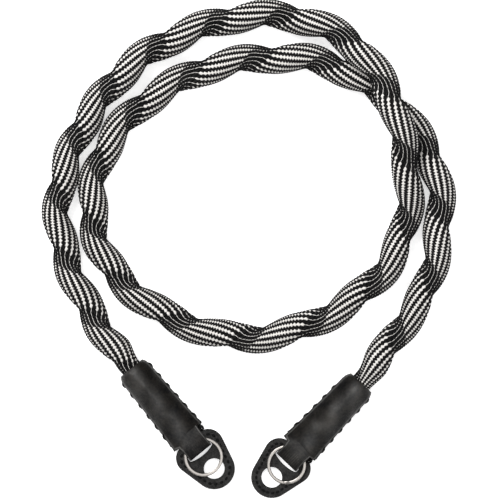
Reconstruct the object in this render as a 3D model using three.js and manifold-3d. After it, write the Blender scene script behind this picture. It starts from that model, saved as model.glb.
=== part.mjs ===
// Camera neck strap: a twisted rope with a laced leather sleeve, a split ring and a leather guard at
// each end. Millimetres, +Z up, lying on Z = 0. The origin is below the middle of the box round the two
// leather ends.

import * as THREE from 'three';
import Module from 'manifold-3d';
import { mergeVertices } from 'three/addons/utils/BufferGeometryUtils.js';

const wasm = await Module();
wasm.setup();

// Clearances
const seatGap = 0.3;          // between pieces that lie on each other
const coilGap = 0.12;         // between the two coils of a split ring

// Rope
const ropeReach = 7.25;       // from the rope's axis to the crest of its twist
const ropeStep = 3.85;        // length of rope between two cross sections
const ropeSides = 12;
const crossingLift = 13.2;    // how much higher the upper strand's axis is where the strands cross
const ropeNeck = 14;          // length over which the rope thins down into a sleeve
const ropeTucked = 27;        // length of rope hidden in a sleeve
const grooveFrom = 0.5;       // where the twist's groove lies at turn 0, in turns from the left over the top

// Leather sleeves
const leather = 1.3;          // thickness of the sleeve's leather
const sleeveLength = 39.1;    // from the mouth to the shoulders at the foot
const sleeveWidth = 17.8;     // across the shoulders
const mouthHeight = 12.6;
const seamHeight = 0.36;      // where front and back are laced together, as a share of the height
const frontFullness = 0.85;   // powers that shape the section: 1 is an ellipse, less is fuller
const backFullness = 0.55;
const footAhead = 3.3;        // the foot is as high as the tongue this far past the shoulders,
const footOver = 0.39;        // and this much more
const tongueWidth = 12.2;
const tongueReach = 11;       // from the shoulders to the fold
const tongueBend = 1.5;       // radius of the bends at the fold, to the middle of the leather
const tongueRooted = 1.95;    // length of the tongue inside the sleeve's own wall
const bendSteps = 4;

// Guards
const guardLeather = 2.2;     // two thin layers
const guardShoulder = 24.3;   // widest part of the guard
const shoulderRadius = 6.9;
const guardEndRadius = 9.5;
const guardHole = 9.6;        // diameter of the round hole
const guardBack = 8;          // from the fold back to the guard's inner edge
const shoulderBack = 1.1;     // from the fold back to the middle of the shoulders
const holeAhead = 9.5;        // from the fold on to the middle of the round hole
const slotRoom = 0.35;        // free room at each end of the tongue in the slot
const slotSlit = 0.9;         // open slit that shows in front of the fold
const slotBehind = 0.6;       // room behind the tongue in the slot
const guardTipLift = 0.05;    // the guard's far end above the surface
const guardRoom = 0.35;       // between the guard and the tongue's lower layer under it
const guardArcSteps = 14;

// Split rings
const ringDiameter = 18;      // outside
const ringWire = 1.45;        // width of the flat wire
const ringHeight = 1.44;      // both coils together
const ringSides = 58;         // steps round both coils
const ringTurn = 695;         // degrees from the wire's first end to its last
const ringCross = 25;         // degrees over which the wire climbs from the lower coil to the upper one

// Cross section of the ring's wire: out from its middle and up from its foot, as shares of half the
// width and of the height.
const wireSection = [
  { out: -1, up: 0.75 },
  { out: -0.6, up: 1 },
  { out: 0.6, up: 1 },
  { out: 1, up: 0.75 },
  { out: 1, up: 0.25 },
  { out: 0.6, up: 0 },
  { out: -0.6, up: 0 },
  { out: -1, up: 0.25 },
];

// Where the sleeves' mouths are, on the same origin as the rope's route
const leftMouthX = -52.5;
const leftMouthY = 28.6;
const rightMouthX = 52.8;
const rightMouthY = 21.9;

// The two ends: the mouth's place, which way the end points in degrees, and how the ring lies in its
// loop.
const ends = [
  {
    name: 'left',
    mouthX: leftMouthX,
    mouthY: leftMouthY,
    heading: -50.6,
    ringAhead: 2,
    ringAside: -0.35,
    ringSpin: 205,
  },
  {
    name: 'right',
    mouthX: rightMouthX,
    mouthY: rightMouthY,
    heading: -133.3,
    ringAhead: 0.4,
    ringAside: 0.9,
    ringSpin: 60,
  },
];

// The rope's route from the left mouth to the right one: x, y, lift as a share of the crossing lift,
// and how many turns the groove of the twist has made so far.
const routeColumns = ['x', 'y', 'lift', 'turn'];
const ropeRoute = [
  [-61.7, 40.2, 0, -0.24],
  [-69.6, 51.9, 0, 0.24],
  [-81.4, 75.9, 0, 1.15],
  [-86.5, 102.1, 0, 2.06],
  [-80.8, 128.1, 0, 2.99],
  [-67.8, 151.5, 0, 3.98],
  [-49.4, 170.8, 0, 4.92],
  [-26.1, 183.7, 0, 5.82],
  [-0.3, 190.6, 0, 6.70],
  [26.2, 189.2, 0.04, 7.57],
  [49.5, 177.0, 0.53, 8.44],
  [65.0, 155.5, 1, 9.32],
  [72.5, 129.9, 0.79, 10.18],
  [74.7, 103.3, 0.06, 11.02],
  [66.6, 78.2, 0, 11.85],
  [47.8, 59.4, 0, 12.67],
  [24.2, 47.1, 0, 13.49],
  [-1.9, 42.9, 0, 14.30],
  [-27.7, 49.2, 0, 15.12],
  [-50.7, 62.8, 0, 15.95],
  [-66.8, 83.5, 0, 16.85],
  [-70.6, 109.4, 0, 17.79],
  [-62.0, 134.2, 0, 18.71],
  [-43.4, 153.2, 0, 19.58],
  [-20.0, 165.8, 0, 20.44],
  [6.1, 171.3, 0, 21.29],
  [32.7, 170.1, 0, 22.13],
  [56.8, 159.0, 0, 22.99],
  [76.2, 140.8, 0, 23.88],
  [87.8, 116.9, 0, 24.76],
  [88.6, 90.4, 0, 25.60],
  [82.3, 64.6, 0, 26.46],
  [67.8, 42.3, 0, 27.31],
  [60.4, 32.0, 0, 27.73],
];
const turnAtMouth = [-0.76, 28.06];
const turnsPerLength = 0.033; // inside the sleeves

// Cross section of the twist: how far the rope stands out from its axis, as a share of ropeReach, at
// equal steps round from the floor of the groove.
const twistReach = [0.55, 0.66, 0.785, 0.885, 0.955, 0.995, 0.985, 0.92, 0.80, 0.63];

// The sleeve from mouth to shoulders: place along it, and its half width and height as shares of the
// named sizes.
const sleeveSections = [
  { along: 0, width: 0.69, height: 0.95 },
  { along: 0.035, width: 0.78, height: 0.99 },
  { along: 0.085, width: 0.84, height: 1 },
  { along: 0.25, width: 0.85, height: 1 },
  { along: 0.45, width: 0.868, height: 0.95 },
  { along: 0.62, width: 0.892, height: 0.86 },
  { along: 0.76, width: 0.91, height: 0.76 },
  { along: 0.88, width: 0.935, height: 0.67 },
  { along: 1, width: 1, height: 0.6 },
];
const sleeveSides = 24;

// The tongue from inside the sleeve on towards the fold: place past the shoulders (mm), how far it still
// lies below its height over the ring, and how much it is arched, both as shares of the leather's
// thickness.
const tongueStart = [
  { past: 1.32, sunk: 0.2, arch: 0.5 },
  { past: 2.64, sunk: 0, arch: 0.2 },
  { past: 4.62, sunk: 0, arch: 0 },
  { past: 6.6, sunk: 0, arch: 0 },
];
const tongueRootArch = 0.85;
const tongueAcross = [-1, -0.6, -0.2, 0.2, 0.6, 1];

const materials = {
  rope: new THREE.MeshStandardMaterial({ color: 0x6d6b69, roughness: 0.85, metalness: 0 }),
  sleeve: new THREE.MeshStandardMaterial({ color: 0x2b2b2c, roughness: 0.55, metalness: 0 }),
  guard: new THREE.MeshStandardMaterial({ color: 0x232323, roughness: 0.85, metalness: 0 }),
  ring: new THREE.MeshStandardMaterial({ color: 0xc9c3bd, roughness: 0.3, metalness: 1 }),
};

const radians = THREE.MathUtils.degToRad;

// A closed mesh from loops of points, each loop joined to the next, with the ends closed or joined to
// each other.
function loftLoops(loops, joined = false) {
  const count = loops[0].length;
  const position = loops.flat().flatMap((point) => [point.x, point.y, point.z]);
  const index = [];
  const spans = joined ? loops.length : loops.length - 1;
  for (let i = 0; i < spans; i++) {
    for (let j = 0; j < count; j++) {
      const a = i * count + j;
      const b = i * count + (j + 1) % count;
      const c = ((i + 1) % loops.length) * count + j;
      const d = ((i + 1) % loops.length) * count + (j + 1) % count;
      index.push(a, b, d, a, d, c);
    }
  }
  if (!joined) {
    closeEnd(position, index, loops[0], 0, true);
    closeEnd(position, index, loops.at(-1), (loops.length - 1) * count, false);
  }
  const geometry = new THREE.BufferGeometry();
  geometry.setAttribute('position', new THREE.Float32BufferAttribute(position, 3));
  geometry.setIndex(index);
  return geometry;
}

// A fan from the middle of an end loop.
function closeEnd(position, index, loop, first, flipped) {
  const middle = new THREE.Vector3();
  loop.forEach((point) => middle.addScaledVector(point, 1 / loop.length));
  const centre = position.length / 3;
  position.push(middle.x, middle.y, middle.z);
  for (let j = 0; j < loop.length; j++) {
    const a = first + j;
    const b = first + (j + 1) % loop.length;
    if (flipped) index.push(b, a, centre);
    else index.push(a, b, centre);
  }
}

function toSolid(geometry) {
  const bare = geometry.clone();
  bare.deleteAttribute('normal');
  bare.deleteAttribute('uv');
  const merged = mergeVertices(bare, 1e-4);
  return new wasm.Manifold(new wasm.Mesh({
    numProp: 3,
    vertProperties: new Float32Array(merged.attributes.position.array),
    triVerts: new Uint32Array(merged.index.array),
  }));
}

function toGeometry(solid) {
  const mesh = solid.getMesh();
  const geometry = new THREE.BufferGeometry();
  geometry.setAttribute('position', new THREE.BufferAttribute(new Float32Array(mesh.vertProperties), 3));
  geometry.setIndex(new THREE.BufferAttribute(new Uint32Array(mesh.triVerts), 1));
  return geometry;
}

function namedMesh(name, geometry, material) {
  const mesh = new THREE.Mesh(geometry, material);
  mesh.name = name;
  return mesh;
}

// Places along an end, measured from the sleeve's mouth.
const foldAt = sleeveLength + tongueReach;
const slotFront = foldAt + slotSlit;
const slotBack = foldAt - leather - slotBehind;
const guardInner = foldAt - guardBack;
const holeAt = foldAt + holeAhead;
const guardTip = holeAt + guardEndRadius;

// The guard lies on the tongue's lower layer at the slot and comes down to the surface at its far end.
const guardSeat = leather + guardRoom;
const guardTilt = Math.atan2(guardSeat - guardTipLift, guardTip - slotBack);
const guardUnder = (along) => guardSeat + (slotBack - along) * Math.tan(guardTilt);

// Middle of the tongue's leather where it runs over the ring.
const overRing = (along) => guardUnder(along) + guardLeather + seatGap + ringHeight + seatGap + leather / 2;

// One cross section of the sleeve: an arched front over a flat back, pulled together at the laced edges.
function sleeveLoop(along, halfWidth, low, high, seam) {
  const loop = [];
  for (let i = 0; i < sleeveSides; i++) {
    const angle = 2 * Math.PI * i / sleeveSides;
    const across = Math.cos(angle);
    const up = Math.sin(angle);
    const y = halfWidth * Math.sign(across) * Math.abs(across) ** frontFullness;
    const z = up >= 0
      ? seam + (high - seam) * up ** frontFullness
      : seam - (seam - low) * Math.abs(up) ** backFullness;
    loop.push(new THREE.Vector3(along, y, z));
  }
  return loop;
}

// Heights of the sleeve: its foot keeps the height that the tongue needs over the ring.
function sleeveHeight(share) {
  const footShare = sleeveSections.at(-1).height;
  const footHeight = overRing(sleeveLength + footAhead) + footOver;
  const rise = (share - footShare) / (1 - footShare);
  return footHeight + (mouthHeight - footHeight) * rise;
}

// Half width and height of the sleeve at a place along it.
function sleeveAt(along) {
  const share = THREE.MathUtils.clamp(along / sleeveLength, 0, 1);
  const next = Math.max(1, sleeveSections.findIndex((section) => section.along >= share));
  const [a, b] = [sleeveSections[next - 1], sleeveSections[next]];
  const t = (share - a.along) / (b.along - a.along);
  return {
    half: THREE.MathUtils.lerp(a.width, b.width, t) * sleeveWidth / 2,
    high: sleeveHeight(THREE.MathUtils.lerp(a.height, b.height, t)),
  };
}

function sleeveShell() {
  const outer = [];
  const inner = [];
  for (const section of sleeveSections) {
    const x = section.along * sleeveLength;
    const { half, high } = sleeveAt(x);
    const seam = high * seamHeight;
    outer.push(sleeveLoop(x, half, 0, high, seam));
    inner.push(sleeveLoop(x, half - leather, leather, high - leather, seam));
  }
  return loftLoops([...outer, ...inner.reverse()], true);
}

// The tongue: out over the ring, down through the slot and back under the guard, as a flat band.
function tonguePath() {
  const drop = foldAt - leather / 2;
  const upper = sleeveHeight(sleeveSections.at(-1).height) - leather / 2;
  const path = [
    { x: sleeveLength - tongueRooted, z: upper, arch: tongueRootArch },
    { x: sleeveLength, z: upper, arch: tongueRootArch },
  ];
  for (const { past, sunk, arch } of tongueStart) {
    const x = sleeveLength + past;
    path.push({ x, z: overRing(x) - sunk * leather, arch });
  }
  const bendFrom = drop - tongueBend;
  const bends = [
    { middle: overRing(bendFrom) - tongueBend, first: 90 },
    { middle: leather / 2 + tongueBend, first: 0 },
  ];
  for (const { middle, first } of bends) {
    for (let i = 0; i <= bendSteps; i++) {
      const angle = radians(first - 90 * i / bendSteps);
      path.push({ x: bendFrom + tongueBend * Math.cos(angle), z: middle + tongueBend * Math.sin(angle), arch: 0 });
    }
  }
  path.push({ x: sleeveLength, z: leather / 2, arch: 0 });
  path.push({ x: sleeveLength - tongueRooted, z: leather / 2, arch: 0 });
  return path;
}

function tongueBand() {
  const path = tonguePath();
  const loops = path.map((point, i) => {
    const before = path[Math.max(i - 1, 0)];
    const after = path[Math.min(i + 1, path.length - 1)];
    const run = Math.hypot(after.x - before.x, after.z - before.z);
    const normalX = -(after.z - before.z) / run;
    const normalZ = (after.x - before.x) / run;
    const edge = (share, side) => new THREE.Vector3(
      point.x + side * normalX * leather / 2,
      share * tongueWidth / 2,
      point.z + side * normalZ * leather / 2 - point.arch * leather * share * share,
    );
    const under = tongueAcross.map((share) => edge(share, -1));
    const over = tongueAcross.toReversed().map((share) => edge(share, 1));
    return [...under, ...over];
  });
  return loftLoops(loops);
}

function makeSleeve(name) {
  const solid = toSolid(sleeveShell()).add(toSolid(tongueBand()));
  return namedMesh(name, toGeometry(solid), materials.sleeve);
}

// The guard's outline: two round shoulders and a round end, joined by straight sides.
function guardShape() {
  const shoulderAt = foldAt - shoulderBack;
  const shoulderAside = guardShoulder / 2 - shoulderRadius;
  const run = holeAt - shoulderAt;
  const apart = Math.hypot(run, shoulderAside);
  const slope = Math.atan2(shoulderAside, run) - Math.asin((guardEndRadius - shoulderRadius) / apart);
  const side = Math.PI / 2 - slope;
  const innerTurn = Math.acos(Math.max(-1, (guardInner - shoulderAt) / shoulderRadius));
  const shape = new THREE.Shape();
  shape.absarc(shoulderAt, -shoulderAside, shoulderRadius, -innerTurn, -side, false);
  shape.absarc(holeAt, 0, guardEndRadius, -side, side, false);
  shape.absarc(shoulderAt, shoulderAside, shoulderRadius, side, innerTurn, false);
  shape.closePath();
  const hole = new THREE.Path();
  hole.absarc(holeAt, 0, guardHole / 2, 0, 2 * Math.PI, true);
  const slot = new THREE.Path();
  const slotHalf = tongueWidth / 2 + slotRoom;
  slot.moveTo(slotBack, -slotHalf);
  slot.lineTo(slotBack, slotHalf);
  slot.lineTo(slotFront, slotHalf);
  slot.lineTo(slotFront, -slotHalf);
  slot.closePath();
  shape.holes.push(hole, slot);
  return shape;
}

function makeGuard(name) {
  const geometry = new THREE.ExtrudeGeometry(guardShape(), {
    depth: guardLeather, bevelEnabled: false, curveSegments: guardArcSteps,
  });
  return namedMesh(name, toGeometry(toSolid(geometry)), materials.guard);
}

// A split ring: flat wire wound twice, lying on its lower coil.
function makeRing(name) {
  const wireHeight = (ringHeight - coilGap) / 2;
  const climb = wireHeight + coilGap;
  const radius = (ringDiameter - ringWire) / 2;
  const half = ringWire / 2;
  const loops = [];
  for (let i = 0; i <= ringSides; i++) {
    const turned = ringTurn * i / ringSides;
    const rise = THREE.MathUtils.smoothstep(turned, 360 - ringCross, 360) * climb;
    const outward = new THREE.Vector3(Math.cos(radians(turned)), Math.sin(radians(turned)), 0);
    loops.push(wireSection.map(({ out, up }) => outward.clone()
      .multiplyScalar(radius + out * half)
      .setZ(rise + up * wireHeight)));
  }
  return namedMesh(name, toGeometry(toSolid(loftLoops(loops))), materials.ring);
}

// One leather end with its ring, along +X from the sleeve's mouth.
function makeEnd({ name, mouthX, mouthY, heading, ringAhead, ringAside, ringSpin }) {
  const end = new THREE.Group();
  end.position.set(mouthX, mouthY, 0);
  end.rotation.z = radians(heading);
  end.add(makeSleeve(`${name}_sleeve`));
  const hinge = new THREE.Group();
  hinge.position.set(slotBack, 0, guardSeat);
  hinge.rotation.y = guardTilt;
  const guard = makeGuard(`${name}_guard`);
  guard.position.x = -slotBack;
  const ring = makeRing(`${name}_ring`);
  ring.position.set(foldAt + ringAhead - slotBack, ringAside, guardLeather + seatGap);
  ring.rotation.z = radians(ringSpin);
  hinge.add(guard, ring);
  end.add(hinge);
  return end;
}

// How far the rope stands out at a place round its twist, as a share of ropeReach: a smooth closed curve
// through the table.
function twistShare(turn) {
  const count = twistReach.length;
  const place = (turn - Math.floor(turn)) * count;
  const i = Math.floor(place) % count;
  const t = place - Math.floor(place);
  const [a, b, c, d] = [-1, 0, 1, 2].map((k) => twistReach[(i + k + count) % count]);
  return 0.5 * (2 * b + (c - a) * t + (2 * a - 5 * b + 4 * c - d) * t * t + (3 * b - a - 3 * c + d) * t ** 3);
}

// The rope's axis and its twist: straight inside each sleeve, then along the route.
function ropeLines() {
  const inSleeve = (end, along, turn) => {
    const heading = radians(end.heading);
    const x = end.mouthX + along * Math.cos(heading);
    const y = end.mouthY + along * Math.sin(heading);
    return { x, y, z: sleeveAt(along).high / 2, turn };
  };
  const [left, right] = ends;
  const [firstTurn, lastTurn] = turnAtMouth;
  const hidden = [1, 0.5, 0].map((share) => share * ropeTucked);
  const free = ropeRoute.map((row) => {
    const place = Object.fromEntries(routeColumns.map((column, i) => [column, row[i]]));
    return { x: place.x, y: place.y, z: ropeReach + place.lift * crossingLift, turn: place.turn };
  });
  const places = [
    ...hidden.map((along) => inSleeve(left, along, firstTurn - along * turnsPerLength)),
    ...free,
    ...hidden.toReversed().map((along) => inSleeve(right, along, lastTurn + along * turnsPerLength)),
  ];
  const smooth = (points) => new THREE.CatmullRomCurve3(points, false, 'catmullrom', 0.5);
  return {
    axis: smooth(places.map(({ x, y, z }) => new THREE.Vector3(x, y, z))),
    twist: smooth(places.map(({ turn }) => new THREE.Vector3(turn, 0, 0))),
  };
}

// Each cross section is the twisted one, pressed to an oval that fits the sleeve where it goes in.
function makeRope() {
  const { axis, twist } = ropeLines();
  const up = new THREE.Vector3(0, 0, 1);
  const length = axis.getLength();
  const steps = Math.round(length / ropeStep);
  const loops = [];
  for (let i = 0; i <= steps; i++) {
    const t = axis.getUtoTmapping(i / steps);
    const centre = axis.getPoint(t);
    const ahead = axis.getTangent(t);
    const leftward = new THREE.Vector3().crossVectors(up, ahead).normalize();
    const upward = new THREE.Vector3().crossVectors(ahead, leftward);
    const turn = twist.getPoint(t).x;
    const outside = Math.min(i, steps - i) / steps * length - ropeTucked;
    const free = THREE.MathUtils.smoothstep(outside, 0, ropeNeck);
    const { half, high } = sleeveAt(-outside);
    const pressed = [half - leather - seatGap, high / 2 - leather - seatGap];
    const loop = [];
    for (let j = 0; j < ropeSides; j++) {
      const round = j / ropeSides;
      const reach = ropeReach * twistShare(turn + round - grooveFrom);
      const [across, tall] = pressed.map((size) => THREE.MathUtils.lerp(size, reach, free));
      loop.push(centre.clone()
        .addScaledVector(leftward, across * Math.cos(2 * Math.PI * round))
        .addScaledVector(upward, tall * Math.sin(2 * Math.PI * round)));
    }
    loops.push(loop);
  }
  return namedMesh('rope', toGeometry(toSolid(loftLoops(loops))), materials.rope);
}

const leatherEnds = new THREE.Group();
leatherEnds.add(...ends.map(makeEnd));

const strap = new THREE.Group();
strap.add(makeRope(), leatherEnds);
strap.updateMatrixWorld(true);
const box = new THREE.Box3().setFromObject(leatherEnds, true);
const middle = box.getCenter(new THREE.Vector3());
strap.position.set(-middle.x, -middle.y, 0);

export default strap;
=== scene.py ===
import math
import bmesh
import bpy
import numpy as np
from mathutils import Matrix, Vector


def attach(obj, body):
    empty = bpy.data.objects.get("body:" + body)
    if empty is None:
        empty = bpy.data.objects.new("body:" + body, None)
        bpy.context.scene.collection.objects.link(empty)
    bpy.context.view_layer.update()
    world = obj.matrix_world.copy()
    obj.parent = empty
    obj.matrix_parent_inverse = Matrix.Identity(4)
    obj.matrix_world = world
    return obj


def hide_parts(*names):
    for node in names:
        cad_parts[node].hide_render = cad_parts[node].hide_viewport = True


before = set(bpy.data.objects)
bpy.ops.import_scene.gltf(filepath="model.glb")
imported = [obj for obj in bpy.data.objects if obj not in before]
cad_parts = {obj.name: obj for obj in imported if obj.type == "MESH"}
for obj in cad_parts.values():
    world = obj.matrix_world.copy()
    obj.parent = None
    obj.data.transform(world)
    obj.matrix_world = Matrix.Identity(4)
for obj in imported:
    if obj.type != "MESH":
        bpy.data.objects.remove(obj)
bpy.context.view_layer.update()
mm = 0.001
collection = bpy.context.scene.collection

# the leather ends, in mm and degrees: the sleeve's mouth and heading in the frame, how far the
# front's corners reach ahead of its middle (left, right), and how the ring lies
frameShift = (-0.012, -0.720)  # from the route's own origin to the frame's
ends = {
    "left": {"mouth": (-52.5, 28.6), "heading": -50.6, "cornersAhead": (0.0, 3.0),
             "ringAhead": 2.0, "ringAside": -0.35, "ringSpin": 205},
    "right": {"mouth": (52.8, 21.9), "heading": -133.3, "cornersAhead": (1.6, 3.0),
              "ringAhead": 0.4, "ringAside": 0.9, "ringSpin": 60},
}

# the camera looks straight down from far away, in mm
view = {
    "centre": (1.84, 82.54),  # what the middle of the picture shows
    "width": 230.0,           # of the frame, at the height of the rope
    "height": 7.0,
    "distance": 2500.0,
    "sensor": 36.0,
    "clip": (10.0, 20000.0),
}
cameraData = bpy.data.cameras.new("camera")
cameraData.sensor_width = view["sensor"]
cameraData.lens = view["sensor"] * view["distance"] / view["width"]
cameraData.clip_start, cameraData.clip_end = [reach * mm for reach in view["clip"]]
camera = bpy.data.objects.new("camera", cameraData)
collection.objects.link(camera)
camera.location = [value * mm for value in (*view["centre"], view["height"] + view["distance"])]
bpy.context.scene.camera = camera
print("camera set")


# small helpers
def makeMesh(name, verts, faces, smooth=True):
    mesh = bpy.data.meshes.new(name)
    mesh.from_pydata([tuple(v) for v in verts], [], [tuple(f) for f in faces])
    mesh.update()
    if smooth:
        mesh.polygons.foreach_set("use_smooth", [True] * len(mesh.polygons))
    return mesh


def addObject(name, mesh):
    obj = bpy.data.objects.new(name, mesh)
    collection.objects.link(obj)
    return obj


def loftFaces(loops, count):
    # quads between rings of count points each, and a face on either end
    i, j = np.meshgrid(np.arange(loops - 1), np.arange(count), indexing="ij")
    here, ahead, after = i * count, (i + 1) * count, (j + 1) % count
    quads = np.stack([here + j, here + after, ahead + after, ahead + j], -1)
    faces = quads.reshape(-1, 4).tolist()
    faces.append(list(range(count))[::-1])
    faces.append([(loops - 1) * count + k for k in range(count)])
    return faces


def smoothStep(x, low, high):
    t = np.clip((np.asarray(x, float) - low) / (high - low), 0, 1)
    return t * t * (3 - 2 * t)


def evaluatedMesh(obj):
    evaluated = obj.evaluated_get(bpy.context.evaluated_depsgraph_get())
    return bpy.data.meshes.new_from_object(evaluated)


def applyModifiers(obj):
    mesh, old = evaluatedMesh(obj), obj.data
    obj.modifiers.clear()
    obj.data = mesh
    bpy.data.meshes.remove(old)
    return obj


def finishPiece(obj, nodes=()):
    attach(obj, "root")
    if nodes:
        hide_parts(*nodes)


def newNode(tree, kind, inputs=None, **settings):
    node = tree.nodes.new(kind)
    for label, value in settings.items():
        setattr(node, label, value)
    for label, value in (inputs or {}).items():
        if isinstance(value, bpy.types.NodeSocket):
            tree.links.new(value, node.inputs[label])
        else:
            node.inputs[label].default_value = value
    return node


# the rope's route and twist, in mm
rope = {
    "reach": 7.25,        # mm from the axis to the crest of the twist
    "lift": 13.2,         # how much higher the upper strand is at the crossing
    "tucked": 27.0,       # hidden in a sleeve
    "neck": 14.0,         # over which it thins down to a mouth
    "mouthHalf": 4.54,    # pressed size at a mouth
    "mouthTall": 4.38,
    "mouthHeight": 5.98,
    "hiddenHeights": (4.95, 5.95),  # at the tucked end, and half way to the mouth
    "inside": 9.0,        # of the rope's body shown past each mouth
    "coreBelow": 0.62,    # the body's surface under the twist's own
    "step": 1.15,
    "sides": 40,
    "turnAtMouth": (-0.76, 28.06),
    "turnsPerLength": 0.033,
    "samples": 8001,      # along the route, to measure it
}
# x, y, lift as a share, and the turns of the groove
ropeRoute = [
    (-61.7, 40.2, 0, -0.24), (-69.6, 51.9, 0, 0.24), (-81.4, 75.9, 0, 1.15),
    (-86.5, 102.1, 0, 2.06), (-80.8, 128.1, 0, 2.99), (-67.8, 151.5, 0, 3.98),
    (-49.4, 170.8, 0, 4.92), (-26.1, 183.7, 0, 5.82), (-0.3, 190.6, 0, 6.70),
    (26.2, 189.2, 0.04, 7.57), (49.5, 177.0, 0.53, 8.44), (65.0, 155.5, 1, 9.32),
    (72.5, 129.9, 0.79, 10.18), (74.7, 103.3, 0.06, 11.02), (66.6, 78.2, 0, 11.85),
    (47.8, 59.4, 0, 12.67), (24.2, 47.1, 0, 13.49), (-1.9, 42.9, 0, 14.30),
    (-27.7, 49.2, 0, 15.12), (-50.7, 62.8, 0, 15.95), (-66.8, 83.5, 0, 16.85),
    (-70.6, 109.4, 0, 17.79), (-62.0, 134.2, 0, 18.71), (-43.4, 153.2, 0, 19.58),
    (-20.0, 165.8, 0, 20.44), (6.1, 171.3, 0, 21.29), (32.7, 170.1, 0, 22.13),
    (56.8, 159.0, 0, 22.99), (76.2, 140.8, 0, 23.88), (87.8, 116.9, 0, 24.76),
    (88.6, 90.4, 0, 25.60), (82.3, 64.6, 0, 26.46), (67.8, 42.3, 0, 27.31),
    (60.4, 32.0, 0, 27.73),
]
# the groove's profile at equal steps round the twist, as shares of the reach
twistReach = np.array([0.55, 0.66, 0.785, 0.885, 0.955, 0.995, 0.985, 0.92, 0.80, 0.63])


def ropePlaces():
    def inSleeve(end, along, turn, height):
        heading = math.radians(end["heading"])
        x, y = end["mouth"]
        return (x + along * math.cos(heading), y + along * math.sin(heading), height, turn)

    firstTurn, lastTurn = rope["turnAtMouth"]
    twist = rope["turnsPerLength"]
    deepest, middle = rope["hiddenHeights"]
    hidden = [(rope["tucked"], deepest), (rope["tucked"] / 2, middle), (0, rope["mouthHeight"])]
    places = [inSleeve(ends["left"], a, firstTurn - a * twist, h) for a, h in hidden]
    places += [(x, y, rope["reach"] + lift * rope["lift"], turn) for x, y, lift, turn in ropeRoute]
    places += [inSleeve(ends["right"], a, lastTurn + a * twist, h) for a, h in hidden[::-1]]
    places = np.array(places)
    places[:, :2] += frameShift
    return places


def splineAt(places, t):
    # uniform Catmull-Rom through the places, with its derivative
    last = len(places) - 1
    i = np.minimum(np.floor(t).astype(int), last - 1)
    w = (t - i)[:, None]
    padded = np.vstack([2 * places[0] - places[1], places, 2 * places[-1] - places[-2]])
    a, b, c, d = padded[i], padded[i + 1], padded[i + 2], padded[i + 3]
    v0, v1 = (c - a) / 2, (d - b) / 2
    k3, k2 = 2 * b - 2 * c + v0 + v1, -3 * b + 3 * c - 2 * v0 - v1
    return k3 * w ** 3 + k2 * w ** 2 + v0 * w + b, 3 * k3 * w ** 2 + 2 * k2 * w + v0


def tableAt(table, place):
    # a smooth closed curve through values at equal steps round the twist
    count = len(table)
    whole = (place % 1) * count
    i = np.floor(whole).astype(int) % count
    t = whole - np.floor(whole)
    a, b, c, d = [table[(i + k) % count] for k in (-1, 0, 1, 2)]
    square, cube = 2 * a - 5 * b + 4 * c - d, 3 * b - a - 3 * c + d
    return 0.5 * (2 * b + (c - a) * t + square * t ** 2 + cube * t ** 3)


route = ropePlaces()
fineT = np.linspace(0, len(route) - 1, rope["samples"])
finePoints = splineAt(route, fineT)[0][:, :3]
fineSteps = np.linalg.norm(np.diff(finePoints, axis=0), axis=1)
fineLength = np.concatenate([[0], np.cumsum(fineSteps)])
freeLength = fineLength[-1] - 2 * rope["tucked"]


def ropeAt(s):
    # centre, leftward, upward and turns at a length from the left mouth
    t = np.interp(s + rope["tucked"], fineLength, fineT)
    point, slope = splineAt(route, t)
    ahead = slope[:, :3] / np.linalg.norm(slope[:, :3], axis=1)[:, None]
    leftward = np.cross([0, 0, 1.0], ahead)
    leftward /= np.linalg.norm(leftward, axis=1)[:, None]
    return point[:, :3], leftward, np.cross(ahead, leftward), point[:, 3]


def ropeSurface(s, angle, below=0.0):
    # points of the twisted surface at lengths s and angles round the axis, in turns
    centre, leftward, upward, turns = ropeAt(s)
    reach = rope["reach"] * tableAt(twistReach, turns + angle - 0.5)
    free = smoothStep(np.minimum(s, freeLength - s), 0, rope["neck"])
    across = rope["mouthHalf"] * (1 - free) + reach * free - below
    tall = rope["mouthTall"] * (1 - free) + reach * free - below
    return (centre + (across * np.cos(2 * np.pi * angle))[:, None] * leftward
            + (tall * np.sin(2 * np.pi * angle))[:, None] * upward)


def makeRopeCore():
    rings = int((freeLength + 2 * rope["inside"]) / rope["step"])
    s = np.linspace(-rope["inside"], freeLength + rope["inside"], rings)
    angle = np.arange(rope["sides"]) / rope["sides"]
    verts = ropeSurface(np.repeat(s, rope["sides"]), np.tile(angle, rings), rope["coreBelow"]) * mm
    obj = addObject("rope_body", makeMesh("rope_body", verts, loftFaces(rings, rope["sides"])))
    return obj, ropeAt(s)[0] * mm


ropeBody, ropePath = makeRopeCore()
print("rope body", len(ropeBody.data.polygons), "faces, free length", round(freeLength, 1), "mm")

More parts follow.
